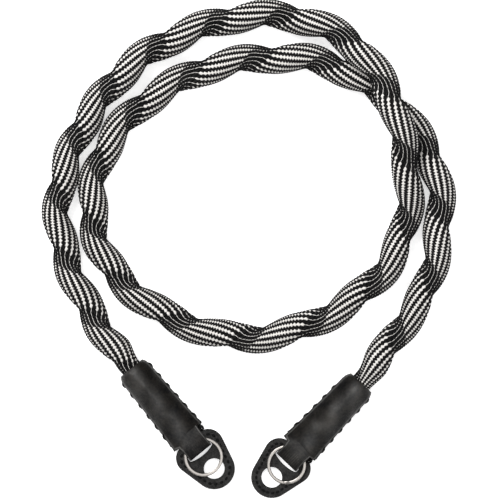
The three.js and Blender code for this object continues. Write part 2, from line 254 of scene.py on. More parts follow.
# the rope's yarn: floats in columns that run slowly round it
yarn = {
    "stripes": 14,          # white columns round the rope, with two black ones after each
    "offset": 12.2,         # degrees of the first column
    "row": 1.40,            # mm from float to float along a column
    "stagger": 18 / 42,     # of a row between neighbouring columns
    "crowding": 0.95,       # mm by which the floats gather towards the end of each strand
    "crowdingAt": 0.04,
    "sunk": 0.40,           # mm of a float under the twist's surface
    "past": 3.0,            # mm of yarn beyond each mouth
    "whiteLength": 1.42, "whiteWidth": 2.2, "whiteHeight": 0.46,
    "blackLength": 1.45, "blackWidth": 1.27, "blackHeight": 0.74,
    "apart": (0.5, 1.1),    # how much the columns' distance may change a float's width
    # a white float where it is drawn thin: width and height as shares, and how much longer it is
    "thin": 0.13, "thinHeight": 0.45, "thinLonger": 0.15,
    "open": (0.145, 0.175),  # places round the twist between which the white floats open
    "shut": (0.795, 0.825),  # and close again
    "waning": (0.58, 0.80), "waned": 0.06,  # where they get narrower, and by how much
    "rounds": 12, "ease": 0.6,  # of the search for a float's place round the twist
    "probe": 0.25, "turnProbe": 0.01,  # mm along and turns round, for the surface's directions
}
# degrees by which the columns swerve at equal steps round the twist from the groove's floor
swerve = np.array([-16.5, -13.5, -8.0, -1.5, 3.0, 6.0, 8.3, 9.5, 9.8, 9.8, 9.6, 8.8, 7.3, 5.8, 4.0,
                   1.5, -1.5, -11.0, -16.0, -17.0])


def columnPlaces(column, along):
    # a float's length along the rope, angle and place round the twist; the columns drift with it
    s, place = along.copy(), np.zeros(len(along))
    for _ in range(yarn["rounds"]):
        turns = ropeAt(s)[3]
        angle = column / (3 * yarn["stripes"]) + turns / yarn["stripes"]
        angle = angle + (yarn["offset"] + tableAt(swerve, place)) / 360
        place = place + yarn["ease"] * (((turns + angle - 0.5 - place) + 0.5) % 1 - 0.5)
        s = along - yarn["crowding"] * np.cos(2 * np.pi * (place + yarn["crowdingAt"]))
    return s, angle, place % 1


def yarnPoints(name, columns, size):
    # a point for every float of the columns, with its directions and its size
    rows = int((freeLength + 2 * yarn["past"]) / yarn["row"])
    column = np.repeat(columns, rows)
    row = np.tile(np.arange(rows), len(columns)) + (column * yarn["stagger"]) % 1
    along = row * yarn["row"] - yarn["past"]
    s, angle, place = columnPlaces(column, along)
    probe, turnProbe = yarn["probe"], yarn["turnProbe"]
    ahead, behind = [columnPlaces(column, along + step)[:2] for step in (probe, -probe)]
    direction = ropeSurface(*ahead) - ropeSurface(*behind)
    spacing = np.linalg.norm(direction, axis=1) / (2 * probe)
    point = ropeSurface(s, angle)
    around = ropeSurface(s, angle + turnProbe) - ropeSurface(s, angle - turnProbe)
    outward = np.cross(around, direction)
    outward /= np.linalg.norm(outward, axis=1)[:, None]
    outward *= np.sign(((point - ropeAt(s)[0]) * outward).sum(1))[:, None]
    # how far the columns lie apart, as a share of their distance on a full round
    fullRound = 2 * turnProbe * 2 * np.pi * rope["reach"]
    apart = (np.linalg.norm(around, axis=1) / fullRound).clip(*yarn["apart"])
    span = size(place, spacing, apart)
    mesh = makeMesh(name, (point - outward * yarn["sunk"]) * mm, [], smooth=False)
    for label, data in (("outward", outward), ("ahead", direction), ("span", span)):
        attribute = mesh.attributes.new(label, "FLOAT_VECTOR", "POINT")
        attribute.data.foreach_set("vector", data.astype(np.float32).ravel())
    return addObject(name, mesh)


def whiteShare(place):
    # 1 where the white floats lie open, 0 where they are drawn thin on the steep side of the groove
    return smoothStep(place, *yarn["open"]) * (1 - smoothStep(place, *yarn["shut"]))


def whiteSpan(place, spacing, apart):
    wide = whiteShare(place)
    full = apart * (1 - yarn["waned"] * smoothStep(place, *yarn["waning"]))
    width = yarn["thin"] * (1 - wide) + wide * full
    height = yarn["thinHeight"] + (1 - yarn["thinHeight"]) * wide
    return np.stack([spacing * (1 + yarn["thinLonger"] * (1 - wide)), width, height], 1)


def blackSpan(place, spacing, apart):
    return np.stack([spacing, apart, np.ones(len(place))], 1)


def floatShape(name, outline, middle):
    # one float of yarn along X, a unit long and wide: its outline and a smaller, higher one
    verts = [(x, y, 0) for x, y in outline] + [(x * middle, y * middle, 1) for x, y in outline]
    count = len(outline)
    faces = [(k, (k + 1) % count, count + (k + 1) % count, count + k) for k in range(count)]
    faces.append(tuple(range(count, 2 * count)))
    return addObject(name, makeMesh(name, verts, faces))


sizeLabels = ("Length", "Width", "Height")


def sizesOf(settings, kind):
    return {label: settings[kind + label] * mm for label in sizeLabels}


def geometryTree(name, source, labels):
    # a group with one geometry and some numbers in, and one geometry out
    tree = bpy.data.node_groups.new(name, "GeometryNodeTree")
    face = tree.interface
    face.new_socket(source, in_out="INPUT", socket_type="NodeSocketGeometry")
    for label in labels:
        face.new_socket(label, in_out="INPUT", socket_type="NodeSocketFloat")
    face.new_socket("Pieces", in_out="OUTPUT", socket_type="NodeSocketGeometry")
    given = tree.nodes.new("NodeGroupInput").outputs
    sizes = {axis: given[label] for axis, label in zip("XYZ", sizeLabels)}
    return tree, given, newNode(tree, "ShaderNodeCombineXYZ", sizes).outputs["Vector"]


def setShapes(tree, shape, material, points, rotation, scale):
    # the shape on every point, made real and painted
    info = newNode(tree, "GeometryNodeObjectInfo", {"Object": shape})
    instances = newNode(tree, "GeometryNodeInstanceOnPoints", {
        "Points": points, "Instance": info.outputs["Geometry"],
        "Rotation": rotation, "Scale": scale})
    real = newNode(tree, "GeometryNodeRealizeInstances",
                   {"Geometry": instances.outputs["Instances"]})
    painted = newNode(tree, "GeometryNodeSetMaterial",
                      {"Geometry": real.outputs["Geometry"], "Material": material})
    newNode(tree, "NodeGroupOutput", {"Pieces": painted.outputs["Geometry"]})


def yarnTree(name, shape, material):
    # a float on every point, turned to the surface and scaled by its own span
    tree, given, size = geometryTree(name, "Points", sizeLabels)

    def attribute(label):
        return newNode(tree, "GeometryNodeInputNamedAttribute", {"Name": label},
                       data_type="FLOAT_VECTOR").outputs["Attribute"]

    upright = newNode(tree, "FunctionNodeAlignRotationToVector", {"Vector": attribute("outward")},
                      axis="Z")
    forward = newNode(tree, "FunctionNodeAlignRotationToVector",
                      {"Rotation": upright.outputs["Rotation"], "Vector": attribute("ahead")},
                      axis="X", pivot_axis="Z")
    scale = newNode(tree, "ShaderNodeVectorMath", {0: size, 1: attribute("span")},
                    operation="MULTIPLY")
    setShapes(tree, shape, material, given["Points"], forward.outputs["Rotation"],
              scale.outputs["Vector"])
    return tree


def runTree(obj, tree, values):
    # the shapes that a tree sets on an object, without the attributes that steered them
    modifier = obj.modifiers.new(tree.name, "NODES")
    modifier.node_group = tree
    for item in tree.interface.items_tree:
        if item.name in values:
            modifier[item.identifier] = values[item.name]
    applyModifiers(obj)
    for label in ("outward", "ahead", "span"):
        attribute = obj.data.attributes.get(label)
        if attribute:
            obj.data.attributes.remove(attribute)
    return obj


# materials and the nodes that they share
def newMaterial(name, roughness, **settings):
    material = bpy.data.materials.new(name)
    material.use_nodes = True
    shader = material.node_tree.nodes["Principled BSDF"]
    shader.inputs["Roughness"].default_value = roughness
    for label, value in settings.items():
        shader.inputs[label.replace("_", " ")].default_value = value
    return material, shader


def shaderGroup(name, inputs, outputs):
    # a group of shader nodes with numbers in and out
    group = bpy.data.node_groups.new(name, "ShaderNodeTree")
    for label, value in inputs.items():
        socket = group.interface.new_socket(label, in_out="INPUT", socket_type="NodeSocketFloat")
        socket.default_value = value
    for label in outputs:
        group.interface.new_socket(label, in_out="OUTPUT", socket_type="NodeSocketFloat")
    return group, group.nodes.new("NodeGroupInput").outputs, group.nodes.new("NodeGroupOutput")


def noise(tree, place, scale, detail):
    inputs = {"Vector": place, "Scale": scale, "Detail": detail}
    return newNode(tree, "ShaderNodeTexNoise", inputs).outputs


def mapped(tree, value, low=0.0, high=1.0, toLow=0.0, toHigh=1.0):
    # a value stretched from one range to another
    ranges = {"From Min": low, "From Max": high, "To Min": toLow, "To Max": toHigh}
    return newNode(tree, "ShaderNodeMapRange", {"Value": value, **ranges}).outputs["Result"]


def reckon(tree, operation, *values):
    inputs = dict(enumerate(values))
    return newNode(tree, "ShaderNodeMath", inputs, operation=operation).outputs["Value"]


def mottleGroup():
    # large and small variation of a surface: a mask from 0 to 1 and a height
    group, given, out = shaderGroup("mottle", {"Large": 120.0, "Small": 1500.0, "Mix": 0.5},
                                    ("Mask", "Height"))
    place = newNode(group, "ShaderNodeTexCoord").outputs["Object"]
    large = noise(group, place, given["Large"], 3.0)["Fac"]
    small = noise(group, place, given["Small"], 4.0)["Fac"]
    mixed = newNode(group, "ShaderNodeMix", {"Factor": given["Mix"], "A": large, "B": small})
    group.links.new(mixed.outputs["Result"], out.inputs["Mask"])
    group.links.new(small, out.inputs["Height"])
    return group


def grainGroup():
    # leather grain: small cells with fine pores between them
    group, given, out = shaderGroup("leather_grain", {"Cells": 1400.0, "Pores": 3200.0},
                                    ("Height",))
    place = newNode(group, "ShaderNodeTexCoord").outputs["Object"]
    wobble = noise(group, place, 600.0, 2.0)["Color"]
    moved = newNode(group, "ShaderNodeMix", {"Factor": 0.0012, "A": place, "B": wobble},
                    data_type="VECTOR")
    cells = newNode(group, "ShaderNodeTexVoronoi",
                    {"Vector": moved.outputs["Result"], "Scale": given["Cells"]},
                    feature="DISTANCE_TO_EDGE")
    creases = mapped(group, cells.outputs["Distance"], high=0.16)
    pores = noise(group, place, given["Pores"], 3.0)["Fac"]
    group.links.new(reckon(group, "ADD", creases, pores), out.inputs["Height"])
    return group


mottle, grain = mottleGroup(), grainGroup()


def mottled(tree, large, small, mix=0.5):
    inputs = {"Large": large, "Small": small, "Mix": mix}
    return newNode(tree, "ShaderNodeGroup", inputs, node_tree=mottle).outputs


def colourMix(tree, factor, first, second, **settings):
    # the colour sockets of a Mix node share their names with the others, so they go by number
    inputs = {"Factor": factor, 6: first, 7: second}
    return newNode(tree, "ShaderNodeMix", inputs, data_type="RGBA", **settings).outputs[2]


def colourBetween(tree, shader, factor, dark, light):
    tree.links.new(colourMix(tree, factor, (*dark, 1), (*light, 1)), shader.inputs["Base Color"])


def addBump(tree, shader, height, strength, distance=0.0002):
    inputs = {"Height": height, "Strength": strength, "Distance": distance}
    bump = newNode(tree, "ShaderNodeBump", inputs)
    tree.links.new(bump.outputs["Normal"], shader.inputs["Normal"])


def yarnMaterial(name, dark, light, glossAndPaintedLight, roughness, sheen=0.0):
    material, shader = newMaterial(name, roughness, Specular_IOR_Level=glossAndPaintedLight, Sheen_Weight=sheen,
                                   Sheen_Roughness=0.5)
    tree = material.node_tree
    spots = mottled(tree, large=90.0, small=2600.0)
    colourBetween(tree, shader, mapped(tree, spots["Mask"], low=0.3, high=0.7), dark, light)
    addBump(tree, shader, spots["Height"], strength=0.6)
    return material


whiteYarn = yarnMaterial("white_yarn", dark=(0.60, 0.578, 0.55), light=(0.77, 0.748, 0.722),
                         glossAndPaintedLight=0.3, roughness=0.8, sheen=0.1)
blackYarn = yarnMaterial("black_yarn", dark=(0.004, 0.004, 0.0045), light=(0.013, 0.0127, 0.0127),
                         glossAndPaintedLight=0.08, roughness=0.7)
# the rope's body, seen only in the gaps between the floats, is painted darker than the black yarn:
# painted shade in those gaps
shadedCoreYarn = yarnMaterial("core_yarn_shaded", dark=(0.002, 0.002, 0.0025), light=(0.008, 0.008, 0.008),
                        glossAndPaintedLight=0.05, roughness=0.9)
ropeBody.data.materials.append(shadedCoreYarn)

whiteOutline = [(0.5, 0.10), (0.08, 0.5), (-0.08, 0.5), (-0.5, 0.10),
                (-0.5, -0.10), (-0.08, -0.5), (0.08, -0.5), (0.5, -0.10)]
blackOutline = [(0.5, 0), (0.2, 0.5), (-0.2, 0.5), (-0.5, 0), (-0.2, -0.5), (0.2, -0.5)]
whiteFloat = floatShape("white_float", whiteOutline, 0.55)
blackFloat = floatShape("black_float", blackOutline, 0.5)

whiteTree = yarnTree("white_yarn_floats", whiteFloat, whiteYarn)
blackTree = yarnTree("black_yarn_floats", blackFloat, blackYarn)
allColumns = np.arange(3 * yarn["stripes"])
ropeWhite = runTree(yarnPoints("rope_white_yarn", allColumns[allColumns % 3 == 0], whiteSpan),
                    whiteTree, sizesOf(yarn, "white"))
ropeBlack = [runTree(yarnPoints(f"rope_black_yarn_{k}", allColumns[allColumns % 3 == k], blackSpan),
                     blackTree, sizesOf(yarn, "black")) for k in (1, 2)]
for shape in (whiteFloat, blackFloat):
    bpy.data.objects.remove(shape)
print("yarn", [len(piece.data.polygons) for piece in (ropeWhite, *ropeBlack)], "faces")

# the leather ends' sizes, in mm
leather = {
    "thick": 1.3,
    "length": 39.1,        # from the mouth to the shoulders
    "tongueHalf": 6.1,
    "tongueReach": 11.0,   # from the shoulders to the fold
    "bend": 1.5,
    "seam": 0.36,          # where front and back meet, as a share of the height
    "seamApart": 0.42,     # from the seam to the middle of each layer at the edge
    "edge": 0.25,          # from the outside to that middle, across
    "frontArch": (1.0, 0.5),  # how arched the front is at the mouth, and how much more at its foot
    "backArch": 0.32,
    # past the shoulders: how far, and how much of the step down to the tongue is left
    "shoulders": ((0.15, 0.97), (0.45, 0.9), (1.0, 0.72), (1.9, 0.42), (2.9, 0.15)),
    "shoulderDrop": 1.25,  # of the edges under the middle, there
    "corners": (30.0, 46.1),  # where the front's corners begin to reach ahead, and are done
    "across": 36,
    "bevel": 0.22, "bevelAngle": 50,
    "rimLine": 0.925,      # where the cut edge of the front shows, as a share of the half width
    "creased": (9.5, 2.0),  # before the fold, where the creases begin and are deepest
    "shineAside": 0.18, "shineWidth": 0.5,  # of the glossy crest with its painted highlight, as shares of the half width
    "shineWaves": (0.25, 0.42, 0.5),  # by how much it comes and goes, along and aside
    "tongueShine": (0.35, 0.3, 0.3),  # of gloss and painted light: at the sides, more on the crest, less in the creases, where it paints shade
}
# cross sections of the strip: where they begin and end, and the steps between them
stations = {
    "mouth": (0, 0.5, 1.1, 1.8, 2.8), "front": (4.2, 0.6, 1.25), "foot": 0.4, "tongue": (3.8, 0.9),
    "bend": 9, "under": (0.8, 0.3, 1.0), "back": (1.5, 0.9, 1.6),
}
# along the sleeve, half width and height
sleeveTable = np.array([
    (0.0, 6.1, 11.7), (0.7, 6.6, 12.2), (1.6, 7.05, 12.5), (3.3, 7.45, 12.6), (9.8, 7.55, 12.6),
    (17.6, 7.7, 12.1), (24.2, 7.95, 11.2), (29.7, 8.1, 10.1), (34.4, 8.35, 9.1), (36.5, 8.5, 8.6),
    (39.1, 8.85, 8.0)])
# soft unevenness of the front
dent = {
    "ridge": (0.50, -0.6, 1.5), "ridgeFades": (20, 26),  # height, aside and reach across
    # height, along, reach along, aside and reach across
    "hollows": ((-0.80, 25.5, 3.0, 1.2, 2.6), (0.50, 29.5, 2.2, 0.2, 2.2)),
    # height, turn per mm along and aside, and start
    "waves": ((0.14, 0.55, 0.35, 1.3), (0.08, 1.1, -0.8, 2.0)),
    "begins": (0.5, 4),
}
guard = {
    "thick": 2.2, "shoulder": 24.3, "shoulderRadius": 6.9, "endRadius": 9.5, "hole": 9.6,
    "back": 8.0, "shoulderBack": 1.1, "holeAhead": 9.5,
    "slotRoom": 0.35, "slotSlit": 0.9, "slotBehind": 0.6,
    "slotBulge": 1.3,      # by which the slot's front edge stands off the fold at its middle
    "slotDrawn": 0.75,     # by which it lies further back at its ends
    "slotRound": 0.8,
    "seat": 1.65, "tipLift": 0.05, "round": 0.28,
    "lowerInset": 0.08,    # of the lower layer's outline
    "merge": 0.001,        # within which points of the two layers are one
    "shoulderSteps": 14, "endSteps": 34, "holeSteps": 48, "slotSteps": 21,
    "stitchInset": 2.4, "stitchSpacing": {"left": 2.75, "right": 2.3}, "stitchAbove": 0.02,
    "stitchLength": 1.7, "stitchWidth": 1.2, "stitchHeight": 0.6,
}
ring = {
    "across": 18.0, "wire": 1.45, "high": 1.44, "apart": 0.12, "above": 0.3,
    "turn": 695, "climb": 25,  # degrees wound, and over which the wire climbs to the upper coil
    "square": 0.75,        # how square the wire is: 1 is round
    "steps": 260, "sides": 14,
}
foldAt = leather["length"] + leather["tongueReach"]
slotFront = foldAt + guard["slotSlit"]
slotBack = foldAt - leather["thick"] - guard["slotBehind"]
holeAt = foldAt + guard["holeAhead"]
guardTilt = math.atan2(guard["seat"] - guard["tipLift"], holeAt + guard["endRadius"] - slotBack)


def toFrame(end, points):
    # from an end's own place (along, across, up, in mm from the mouth) to the frame, in metres
    points = np.asarray(points, float)
    heading = math.radians(ends[end]["heading"])
    c, s = math.cos(heading), math.sin(heading)
    x = ends[end]["mouth"][0] + frameShift[0] + points[..., 0] * c - points[..., 1] * s
    y = ends[end]["mouth"][1] + frameShift[1] + points[..., 0] * s + points[..., 1] * c
    return np.stack([x, y, points[..., 2]], -1) * mm


def tilted(points):
    # from the guard's own level place to the end's
    points = np.asarray(points, float)
    c, s = math.cos(guardTilt), math.sin(guardTilt)
    x, z = points[..., 0] - slotBack, points[..., 2]
    return np.stack([slotBack + x * c + z * s, points[..., 1], guard["seat"] - x * s + z * c], -1)


def overRing(x):
    under = guard["seat"] + (slotBack - x) * math.tan(guardTilt)
    return under + guard["thick"] + 2 * ring["above"] + ring["high"] + leather["thick"] / 2


def stripStations():
    # the strip of leather from the front's mouth round the fold to the back's mouth, as cross
    # sections: along, half width, height at the edges and in the middle, arch and layer
    half, foot, bend = leather["thick"] / 2, leather["length"], leather["bend"]
    drop = foldAt - half
    rows = []

    def sleeveSize(x):
        return [np.interp(x, sleeveTable[:, 0], sleeveTable[:, k]) for k in (1, 2)]

    def tongueRow(x, low, high):
        rows.append((x, leather["tongueHalf"], low, high, 1, "tongue"))

    first, room, step = stations["front"]
    atFoot = foot - stations["foot"]
    start, more = leather["frontArch"]
    onward = np.arange(first, foot - room, step)
    for x in np.concatenate([stations["mouth"], onward, [atFoot, foot]]):
        wide, high = sleeveSize(x)
        low = high * leather["seam"] + leather["seamApart"]
        rows.append((x, wide - leather["edge"], low, high - half, start + more * x / foot, "front"))
    footTop = sleeveTable[-1, 2] - half
    for past, share in leather["shoulders"]:
        middle = overRing(foot + past) + (footTop - overRing(foot)) * share
        tongueRow(foot + past, middle - leather["shoulderDrop"] * share, middle)
    first, step = stations["tongue"]
    for x in np.arange(foot + first, drop - bend, step):
        tongueRow(x, overRing(x), overRing(x))
    # down round the fold
    for top, last, level in ((90, 0, overRing(drop - bend) - bend), (0, -90, half + bend)):
        for angle in np.radians(np.linspace(top, last, stations["bend"])):
            z = level + bend * math.sin(angle)
            tongueRow(drop - bend + bend * math.cos(angle), z, z)
    first, room, step = stations["under"]
    for x in np.arange(drop - bend - first, foot + room, -step):
        tongueRow(x, half, half)
    first, room, step = stations["back"]
    for x in np.concatenate([[foot, atFoot], np.arange(foot - first, room, -step), [0]]):
        wide, high = sleeveSize(x)
        low = high * leather["seam"] - leather["seamApart"]
        rows.append((x, wide - leather["edge"], low, half, leather["backArch"], "back"))
    return rows


def dents(x, y, side):
    # the rope's end shows through the front, and the leather sinks beyond it
    height, aside, wide = dent["ridge"]
    shown = 1 - smoothStep(x, *dent["ridgeFades"])
    z = height * np.exp(-((y - aside * side) / wide) ** 2) * shown
    for height, along, reach, aside, wide in dent["hollows"]:
        z = z + height * np.exp(-((x - along) / reach) ** 2 - ((y - aside * side) / wide) ** 2)
    for height, perAlong, perAside, start in dent["waves"]:
        z = z + height * np.sin(perAlong * x + start * side + perAside * y)
    return z * smoothStep(x, *dent["begins"])


def makeSleeve(end):
    name = end + "_leather"
    rows = stripStations()
    u = np.linspace(-1, 1, leather["across"] + 1)
    loops, rim, creaseDepthAndShade, glossAndPaintedLight = [], [], [], []
    side = 1 if end == "left" else -1
    foot, (start, rest) = leather["length"], leather["corners"]
    comesAndGoes, perAlong, perAside = leather["shineWaves"]
    dull, onCrest, shadeInCreases = leather["tongueShine"]
    before, deepest = leather["creased"]
    for x, wide, low, high, arch, layer in rows:
        flat = layer == "tongue"
        y = wide * (u if flat else np.sin(u * math.pi / 2))
        crown = 1 - u ** 2 if flat else np.cos(u * math.pi / 2).clip(0, 1) ** arch
        z = low + (high - low) * crown
        if layer == "front":
            z = z + dents(x, y, side) * crown
        # the front's corners reach further than its middle, and the tongue's root with them
        reached = smoothStep(x, start, foot) * (1 - smoothStep(x, foot, rest))
        if layer == "back" or high < leather["thick"]:
            reached = 0.0
        along = x + reached * np.where(u > 0, *ends[end]["cornersAhead"]) * u ** 2
        loops.append(np.stack([along, y, z], 1))
        rim.append(np.abs(y) / wide)
        # how deep the creases are near the fold; the leather's colour paints shade into them
        creased = smoothStep(x, foldAt - before, foldAt - deepest) if flat else 0.0
        creaseDepthAndShade.append(np.full_like(u, creased))
        # glossier along the crest, with a painted highlight there, more to one side of it, and
        # painted shade towards the sides
        crest = np.exp(-((y / wide + leather["shineAside"] * side) / leather["shineWidth"]) ** 2)
        waves = 1 - comesAndGoes + comesAndGoes * np.sin(perAlong * x + perAside * y * side)
        onTongue = (dull + onCrest * crest) * (1 - shadeInCreases * creased)
        glossAndPaintedLight.append(crest * waves if layer == "front" else onTongue)
    loops, count = np.array(loops), len(u)
    i, j = np.meshgrid(np.arange(len(rows) - 1), np.arange(count - 1), indexing="ij")
    here, following = i * count + j, (i + 1) * count + j
    faces = np.stack([here, following, following + 1, here + 1], -1)
    mesh = makeMesh(name, toFrame(end, loops.reshape(-1, 3)), faces.reshape(-1, 4).tolist())
    uvs = mesh.uv_layers.new(name="strip")
    gaps = np.linalg.norm(np.diff(loops[:, count // 2], axis=0), axis=1)
    runs = np.concatenate([[0], np.cumsum(gaps)])
    flat = np.stack([np.repeat(runs, count), loops[..., 1].ravel()], 1)
    index = np.empty(len(mesh.loops), int)
    mesh.loops.foreach_get("vertex_index", index)
    uvs.data.foreach_set("uv", (flat[index] / 10).ravel())  # in cm
    for label, values in (("rim", rim), ("creased", creaseDepthAndShade), ("glossAndPaintedLight", glossAndPaintedLight)):
        attribute = mesh.attributes.new(label, "FLOAT", "POINT")
        attribute.data.foreach_set("value", np.array(values, np.float32).ravel())
    obj = addObject(name, mesh)
    solidify = obj.modifiers.new("thickness", "SOLIDIFY")
    solidify.thickness, solidify.offset, solidify.use_even_offset = leather["thick"] * mm, 0, True
    bevel = obj.modifiers.new("edges", "BEVEL")
    bevel.width, bevel.segments = leather["bevel"] * mm, 2
    bevel.limit_method, bevel.angle_limit = "ANGLE", math.radians(leather["bevelAngle"])
    return applyModifiers(obj)


def guardOutline(inset):
    # two round shoulders and a round end, joined by straight sides
    at = foldAt - guard["shoulderBack"]
    radius, endRadius = guard["shoulderRadius"] - inset, guard["endRadius"] - inset
    aside = guard["shoulder"] / 2 - guard["shoulderRadius"]
    run = holeAt - at
    lean = math.asin((endRadius - radius) / math.hypot(run, aside))
    side = math.pi / 2 - math.atan2(aside, run) + lean
    inner = math.acos(max(-1, (foldAt - guard["back"] + inset - at) / radius))
    points = []
    for cx, cy, r, first, last, steps in (
            (at, -aside, radius, -inner, -side, guard["shoulderSteps"]),
            (holeAt, 0, endRadius, -side, side, guard["endSteps"]),
            (at, aside, radius, side, inner, guard["shoulderSteps"])):
        for angle in np.linspace(first, last, steps):
            points.append((cx + r * math.cos(angle), cy + r * math.sin(angle)))
    return points


def makeGuard(end):
    # two layers with rounded edges, cut through by the round hole and the tongue's slot
    name = end + "_guard_leather"
    slotHalf = leather["tongueHalf"] + guard["slotRoom"]
    radius = guard["hole"] / 2
    hole = [(holeAt + radius * math.cos(a), radius * math.sin(a))
            for a in np.linspace(0, -2 * math.pi, guard["holeSteps"], endpoint=False)]
    rows = np.linspace(-slotHalf, slotHalf, guard["slotSteps"])
    bulge = guard["slotBulge"] * (1 - (rows / slotHalf) ** 2) ** guard["slotRound"]
    front = slotFront - guard["slotDrawn"] + bulge
    slot = [(slotBack, -slotHalf), *zip(front, rows), (slotBack, slotHalf)]
    layer = guard["thick"] / 2
    joined = bmesh.new()
    for level in (0, 1):
        curve = bpy.data.curves.new(name, "CURVE")
        curve.dimensions, curve.fill_mode = "2D", "BOTH"
        curve.extrude = layer / 2 - guard["round"]
        curve.bevel_depth, curve.bevel_resolution = guard["round"], 2
        curve.offset = -guard["round"]
        for loop in (guardOutline(0.0 if level else guard["lowerInset"]), hole, slot[::-1]):
            spline = curve.splines.new("POLY")
            spline.points.add(len(loop) - 1)
            spline.points.foreach_set("co", [c for x, y in loop for c in (x, y, 0, 1)])
            spline.use_cyclic_u = True
        shape = addObject(name, curve)
        mesh = evaluatedMesh(shape)
        points = np.empty(len(mesh.vertices) * 3)
        mesh.vertices.foreach_get("co", points)
        points = points.reshape(-1, 3) + (0, 0, layer * (level + 0.5))
        mesh.vertices.foreach_set("co", toFrame(end, tilted(points)).ravel())
        bpy.data.objects.remove(shape)
        bpy.data.curves.remove(curve)
        joined.from_mesh(mesh)
    bmesh.ops.remove_doubles(joined, verts=joined.verts, dist=guard["merge"] * mm)
    bmesh.ops.recalc_face_normals(joined, faces=joined.faces)
    whole = bpy.data.meshes.new(name)
    joined.to_mesh(whole)
    joined.free()
    return addObject(name, whole)


def makeRing(end):
    # flat wire wound twice, with rounded edges
    wireHigh = (ring["high"] - ring["apart"]) / 2
    radius, half = (ring["across"] - ring["wire"]) / 2, ring["wire"] / 2
    turned = np.linspace(0, ring["turn"], ring["steps"])
    rise = smoothStep(turned, 360 - ring["climb"], 360) * (wireHigh + ring["apart"])
    angle = np.linspace(0, 2 * math.pi, ring["sides"], endpoint=False)
    across, tall = [np.sign(v) * np.abs(v) ** ring["square"]
                    for v in (np.cos(angle), np.sin(angle))]
    out, up = half * across, wireHigh / 2 * (1 + tall)
    spin = np.radians(turned + ends[end]["ringSpin"])
    x = (radius + out)[None] * np.cos(spin)[:, None] + foldAt + ends[end]["ringAhead"]
    y = (radius + out)[None] * np.sin(spin)[:, None] + ends[end]["ringAside"]
    z = up[None] + rise[:, None] + guard["thick"] + ring["above"]
    points = tilted(np.stack([x, y, z], -1))
    faces = [face[::-1] for face in loftFaces(len(turned), ring["sides"])]
    name = end + "_ring_steel"
    return addObject(name, makeMesh(name, toFrame(end, points.reshape(-1, 3)), faces))


thread = {
    "radius": 0.6, "first": 3.7, "spacing": 6.1, "count": 6, "slant": 2.0, "inset": 1.15,
    "proud": 0.45, "leftAhead": 0.45,
    "tall": 1.75,          # mm from the seam to the ends of a turn
    "sides": 8, "steps": 12,
    "endFrom": 0.12, "endRound": 0.35,  # how the thread thins towards its ends
    # the knot by the left shoulder: two loops, each ahead, aside and turned
    "knot": 0.62, "knotLoops": ((1.2, 6.9, 0.0), (2.2, 7.3, 1.2)), "knotSize": (0.95, 0.85),
    "knotHeight": 4.6, "knotWave": 0.45, "knotSteps": 14,
    "knotFollows": 0.6,    # of how far the corner reaches ahead
}


def tubeAlong(points, radius, sides):
    # a round thread with closed, rounded ends
    points = np.asarray(points, float)
    slope = np.gradient(points, axis=0)
    slope /= np.linalg.norm(slope, axis=1)[:, None]
    first = np.cross(slope, (0.3, 0.2, 1.0))
    first /= np.linalg.norm(first, axis=1)[:, None]
    second = np.cross(slope, first)
    share = np.linspace(thread["endFrom"], 1 - thread["endFrom"], len(points))
    thin = np.sin(share * math.pi) ** thread["endRound"]
    angle = (np.arange(sides) / sides * 2 * math.pi)[None, :, None]
    around = first[:, None] * np.cos(angle) + second[:, None] * np.sin(angle)
    verts = points[:, None] + around * (radius * thin)[:, None, None]
    return verts.reshape(-1, 3), loftFaces(len(points), sides)


def makeLacing(end):
    verts, faces = [], []

    def add(points, radius):
        tube, tubeFaces = tubeAlong(points, radius, thread["sides"])
        start = sum(len(v) for v in verts)
        verts.append(tube)
        faces.extend([[start + k for k in face] for face in tubeFaces])

    turn = np.linspace(-1, 1, thread["steps"])
    for side in (1, -1):
        skipped = 1 if (end, side) == ("right", -1) else 0
        for k in range(skipped, thread["count"]):
            middle = thread["first"] + k * thread["spacing"]
            x = middle + (thread["leftAhead"] if side > 0 else 0) + turn * thread["slant"]
            wide, high = [np.interp(x, sleeveTable[:, 0], sleeveTable[:, c]) for c in (1, 2)]
            outward = (thread["inset"] + thread["proud"]) * np.cos(turn * math.pi / 2) ** 0.5
            y = side * (wide - thread["inset"] + outward)
            z = high * leather["seam"] - np.sin(turn * math.pi / 2) * thread["tall"]
            add(np.stack([x, y, z], 1), thread["radius"])
    foot = leather["length"] + thread["knotFollows"] * ends[end]["cornersAhead"][0]
    loop = np.linspace(0, 2 * math.pi, thread["knotSteps"])
    knotLong, knotWide = thread["knotSize"]
    for dx, dy, turned in thread["knotLoops"]:
        x = foot + dx + knotLong * np.cos(loop + turned)
        y = dy + knotWide * np.sin(loop + turned)
        z = thread["knotHeight"] + thread["knotWave"] * np.sin(2 * loop)
        add(np.stack([x, y, z], 1), thread["knot"])
    name = end + "_lacing"
    return addObject(name, makeMesh(name, toFrame(end, np.concatenate(verts)), faces))


def stitchTree(shape, material):
    # stitches set along a line at an even spacing
    tree, given, size = geometryTree("stitches", "Line", ("Spacing", *sizeLabels))
    curve = newNode(tree, "GeometryNodeMeshToCurve", {"Mesh": given["Line"]})
    points = newNode(tree, "GeometryNodeCurveToPoints",
                     {"Curve": curve.outputs["Curve"], "Length": given["Spacing"]}, mode="LENGTH")
    level = newNode(tree, "FunctionNodeAlignRotationToVector",
                    {"Vector": points.outputs["Tangent"]}, axis="X", pivot_axis="Z")
    setShapes(tree, shape, material, points.outputs["Points"], level.outputs["Rotation"], size)
    return tree


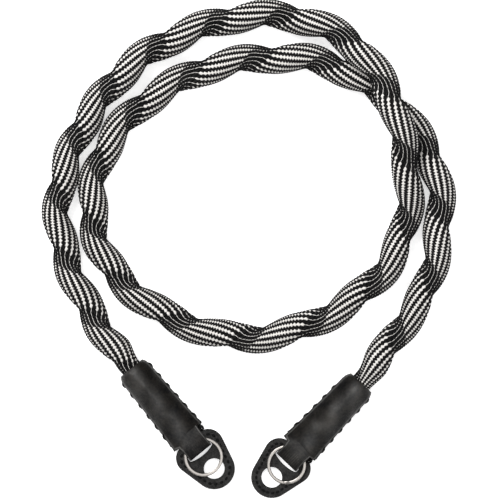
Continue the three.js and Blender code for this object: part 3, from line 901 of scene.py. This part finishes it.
def makeGuardStitches(end, tree):
    line = guardOutline(guard["stitchInset"])
    top = guard["thick"] + guard["stitchAbove"]
    points = toFrame(end, tilted([(x, y, top) for x, y in line]))
    name = end + "_guard_stitches"
    mesh = bpy.data.meshes.new(name)
    edges = [(k, k + 1) for k in range(len(line) - 1)]
    mesh.from_pydata([tuple(v) for v in points], edges, [])
    spacing = guard["stitchSpacing"][end] * mm
    return runTree(addObject(name, mesh), tree, {"Spacing": spacing, **sizesOf(guard, "stitch")})


def stitchShape(name):
    # a plump stitch, a unit long, wide and high
    rings, sides, blunt = 7, 8, 0.12
    x = np.linspace(-0.5, 0.5, rings)
    reach = np.sqrt((1 - (2 * x) ** 4).clip(blunt, 1)) / 2
    angle = np.arange(sides) / sides * 2 * math.pi
    verts = np.stack([np.repeat(x, sides), np.outer(reach, np.cos(angle)).ravel(),
                      np.outer(reach, np.sin(angle)).ravel()], 1)
    return addObject(name, makeMesh(name, verts, loftFaces(rings, sides)))


# the finishes of the ends
patches = (0.38, 0.64)  # of the mottle's mask, stretched out


def leatherMaterial(name, dark, light, roughness, edgeLineColour):
    material, shader = newMaterial(name, roughness, Specular_IOR_Level=0.3)
    tree = material.node_tree

    def attribute(label):
        return newNode(tree, "ShaderNodeAttribute", attribute_name=label).outputs["Fac"]

    spots = mottled(tree, large=130.0, small=900.0, mix=0.42)
    colour = colourMix(tree, mapped(tree, spots["Mask"], *patches), (*dark, 1), (*light, 1))
    # a thin lighter line where the front's cut edge turns down
    away = reckon(tree, "ABSOLUTE", reckon(tree, "SUBTRACT", attribute("rim"), leather["rimLine"]))
    edge = mapped(tree, away, low=0.02, high=0.045, toLow=1.0, toHigh=0.0)
    colour = colourMix(tree, edge, colour, (*edgeLineColour, 1))
    # fine creases run along the tongue near its fold, pressed in by the bump and painted darker in
    # the colour as painted shade
    creased = attribute("creased")
    strip = newNode(tree, "ShaderNodeUVMap", uv_map="strip").outputs["UV"]
    waves = {"Vector": strip, "Scale": 3.2, "Distortion": 1.6, "Detail": 2.0, "Detail Scale": 1.5}
    folds = newNode(tree, "ShaderNodeTexWave", waves, wave_type="BANDS", bands_direction="Y")
    folded = reckon(tree, "MULTIPLY", folds.outputs["Fac"], creased)
    creaseShade = mapped(tree, folded, toLow=1.0, toHigh=0.45)
    colour = colourMix(tree, 1.0, colour, creaseShade, blend_type="MULTIPLY")
    # the sides are duller than the crest, and painted darker: a painted highlight on the crest and
    # painted shade on the sides
    glossAndPaintedLight = attribute("glossAndPaintedLight")
    paintedCrestLight = mapped(tree, glossAndPaintedLight, toLow=0.45, toHigh=1.1)
    colour = colourMix(tree, 1.0, colour, paintedCrestLight, blend_type="MULTIPLY")
    tree.links.new(colour, shader.inputs["Base Color"])
    gloss = mapped(tree, glossAndPaintedLight, toLow=0.03, toHigh=0.55)
    tree.links.new(gloss, shader.inputs["Specular IOR Level"])
    rough = mapped(tree, spots["Mask"], *patches, toLow=roughness + 0.14, toHigh=roughness - 0.1)
    creaseDull, creaseDepth = 0.3, 4.0
    duller = reckon(tree, "MULTIPLY_ADD", creased, creaseDull, rough)
    tree.links.new(duller, shader.inputs["Roughness"])
    skin = newNode(tree, "ShaderNodeGroup", node_tree=grain).outputs["Height"]
    relief = reckon(tree, "MULTIPLY_ADD", folded, creaseDepth, skin)
    addBump(tree, shader, relief, strength=0.4, distance=0.00015)
    return material


def suedeMaterial(name, dark, light):
    material, shader = newMaterial(name, 0.85, Specular_IOR_Level=0.15)
    tree = material.node_tree
    spots = mottled(tree, large=260.0, small=2200.0, mix=0.6)
    colourBetween(tree, shader, mapped(tree, spots["Mask"], *patches), dark, light)
    addBump(tree, shader, spots["Height"], strength=0.7)
    return material


def steelMaterial(name, dark, light):
    material, shader = newMaterial(name, 0.26, Metallic=1.0)
    tree = material.node_tree
    spots = mottled(tree, large=400.0, small=3000.0)
    colourBetween(tree, shader, spots["Mask"], dark, light)
    rough = mapped(tree, spots["Mask"], toLow=0.16, toHigh=0.42)
    tree.links.new(rough, shader.inputs["Roughness"])
    return material


sleeveLeather = leatherMaterial("sleeve_leather", dark=(0.004, 0.004, 0.0045),
                                light=(0.026, 0.023, 0.0195), roughness=0.42,
                                edgeLineColour=(0.10, 0.098, 0.094))
guardSuede = suedeMaterial("guard_suede", dark=(0.006, 0.006, 0.006), light=(0.036, 0.035, 0.034))
nickel = steelMaterial("nickel", dark=(0.24, 0.222, 0.205), light=(0.40, 0.38, 0.36))
threadFinish = yarnMaterial("waxed_thread", dark=(0.001, 0.001, 0.001), light=(0.004, 0.004, 0.004),
                            glossAndPaintedLight=0.08, roughness=0.5)
oneStitch = stitchShape("one_stitch")
guardTree = stitchTree(oneStitch, threadFinish)
makers = {"sleeve": makeSleeve, "guard": makeGuard, "ring": makeRing, "lacing": makeLacing}
finishes = {"sleeve": sleeveLeather, "guard": guardSuede, "ring": nickel, "lacing": threadFinish}
dressed = []
for end in ends:
    pieces = {part: make(end) for part, make in makers.items()}
    for part, finish in finishes.items():
        pieces[part].data.materials.clear()
        pieces[part].data.materials.append(finish)
    pieces["stitches"] = makeGuardStitches(end, guardTree)
    for part, slot in (("sleeve", "sleeve_leather"), ("guard", "guard_leather"),
                       ("ring", "ring_steel")):
        finishPiece(pieces[part], [f"{end}_{part}"])
    finishPiece(pieces["lacing"])
    finishPiece(pieces["stitches"])
    dressed += pieces.values()
bpy.data.objects.remove(oneStitch)
print("ends", {piece.name: len(piece.data.polygons) for piece in dressed})

# floor and light, in metres
stage = {
    "size": 4.0, "floor": 0.95, "floorGlow": 0.5, "world": 0.25,
    "target": (0, 0.08, 0),
    # each light's place, size and power
    "lights": {"over_light": ((0, 0.08, 3.4), 4.0, 85.0),
               "key_light": ((-0.7, 0.9, 1.3), 0.8, 24.0),
               "fill_light": ((0.9, -0.5, 1.2), 1.2, 5.0)},
}
floorMaterial, floorShader = newMaterial("floor", 0.7, Emission_Strength=stage["floorGlow"],
                                         Emission_Color=(1, 1, 1, 1))
floorShader.inputs["Base Color"].default_value = (stage["floor"],) * 3 + (1,)
reach = stage["size"] / 2
corners = [(-reach, -reach, 0), (reach, -reach, 0), (reach, reach, 0), (-reach, reach, 0)]
floor = addObject("floor", makeMesh("floor", corners, [(0, 1, 2, 3)], smooth=False))
floor.data.materials.append(floorMaterial)
for name, (place, size, power) in stage["lights"].items():
    lightData = bpy.data.lights.new(name, "AREA")
    lightData.size, lightData.energy = size, power
    lamp = bpy.data.objects.new(name, lightData)
    collection.objects.link(lamp)
    lamp.location = place
    lookingAt = Vector(stage["target"]) - Vector(place)
    lamp.rotation_euler = lookingAt.to_track_quat("-Z", "Y").to_euler()
world = bpy.data.worlds.new("world")
bpy.context.scene.world = world
world.use_nodes = True
background = world.node_tree.nodes["Background"]
background.inputs["Color"].default_value = (1, 1, 1, 1)
background.inputs["Strength"].default_value = stage["world"]
bpy.context.scene.view_settings.view_transform = "Standard"
print("floor and light set")

# what rides
finishPiece(ropeBody, ["rope"])
finishPiece(ropeWhite)
for piece in ropeBlack:
    finishPiece(piece)
